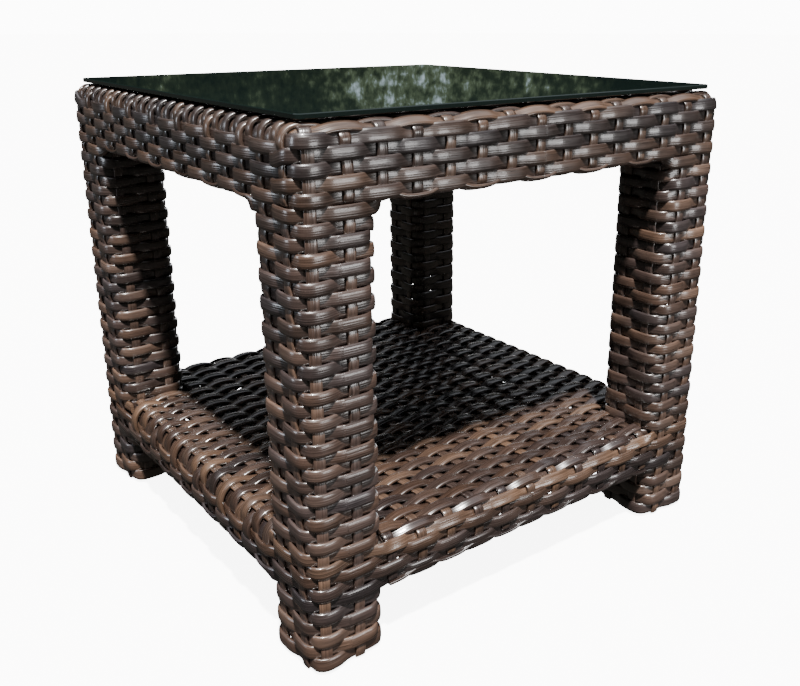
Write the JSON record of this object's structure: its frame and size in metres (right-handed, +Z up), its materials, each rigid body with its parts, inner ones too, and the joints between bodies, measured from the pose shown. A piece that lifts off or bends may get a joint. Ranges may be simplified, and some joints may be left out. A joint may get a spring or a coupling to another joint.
{
  "type": "side table",
  "caption": "Square side table with a loose dark glass top, woven resin-wicker legs, apron and lower shelf over a metal tube frame.",
  "frame": {"origin": "centre of the footprint, on the floor", "axes": "+Z up; -Y towards the front; +X to the right. The table is square, so front is the side facing the lower right of the reference view"},
  "size_m": [0.56, 0.56, 0.5293],
  "materials": {
    "glass": "polished smoked glass with ground edges",
    "pad": "clear soft bumper",
    "wicker_top": "satin half-round resin strands, mixed dark and tan browns",
    "wicker_leg": "satin half-round resin strands, mixed dark and tan browns",
    "wicker_shelf": "satin half-round resin strands, mixed dark and tan browns",
    "frame_tube": "brown powder coat",
    "frame_rail": "brown powder coat",
    "foot_plate": "brown powder coat",
    "glide": "matt black"
  },
  "bodies": {
    "table": {"glass_pad_front_left": "pad", "glass_pad_front_right": "pad", "glass_pad_back_left": "pad", "glass_pad_back_right": "pad", "woven_top": "wicker_top", "woven_shelf": "wicker_shelf", "front_left_leg_weave": "wicker_leg", "front_left_leg_tube_outer": "frame_tube", "front_left_glide_outer": "glide", "front_left_leg_tube_front": "frame_tube", "front_left_glide_front": "glide", "front_left_leg_tube_side": "frame_tube", "front_left_glide_side": "glide", "front_left_leg_tube_inner": "frame_tube", "front_left_glide_inner": "glide", "front_left_foot_plate": "foot_plate", "front_right_leg_weave": "wicker_leg", "front_right_leg_tube_outer": "frame_tube", "front_right_glide_outer": "glide", "front_right_leg_tube_front": "frame_tube", "front_right_glide_front": "glide", "front_right_leg_tube_side": "frame_tube", "front_right_glide_side": "glide", "front_right_leg_tube_inner": "frame_tube", "front_right_glide_inner": "glide", "front_right_foot_plate": "foot_plate", "back_left_leg_weave": "wicker_leg", "back_left_leg_tube_outer": "frame_tube", "back_left_glide_outer": "glide", "back_left_leg_tube_back": "frame_tube", "back_left_glide_back": "glide", "back_left_leg_tube_side": "frame_tube", "back_left_glide_side": "glide", "back_left_leg_tube_inner": "frame_tube", "back_left_glide_inner": "glide", "back_left_foot_plate": "foot_plate", "back_right_leg_weave": "wicker_leg", "back_right_leg_tube_outer": "frame_tube", "back_right_glide_outer": "glide", "back_right_leg_tube_back": "frame_tube", "back_right_glide_back": "glide", "back_right_leg_tube_side": "frame_tube", "back_right_glide_side": "glide", "back_right_leg_tube_inner": "frame_tube", "back_right_glide_inner": "glide", "back_right_foot_plate": "foot_plate", "top_frame": "frame_rail", "apron_rail_front": "frame_rail", "apron_rail_back": "frame_rail", "apron_rail_left": "frame_rail", "apron_rail_right": "frame_rail", "shelf_rail_front": "frame_rail", "shelf_rail_back": "frame_rail", "shelf_rail_left": "frame_rail", "shelf_rail_right": "frame_rail", "top_bar_left": "frame_rail", "shelf_bar_left": "frame_rail", "top_bar_right": "frame_rail", "shelf_bar_right": "frame_rail"},
    "glass": {"glass_top": "glass"}
  },
  "joints": [
    {"name": "glass_lift", "type": "slide", "parent": "table", "child": "glass", "axis": [0, 0, 1], "range_m": [0, 0.15]}
  ]
}
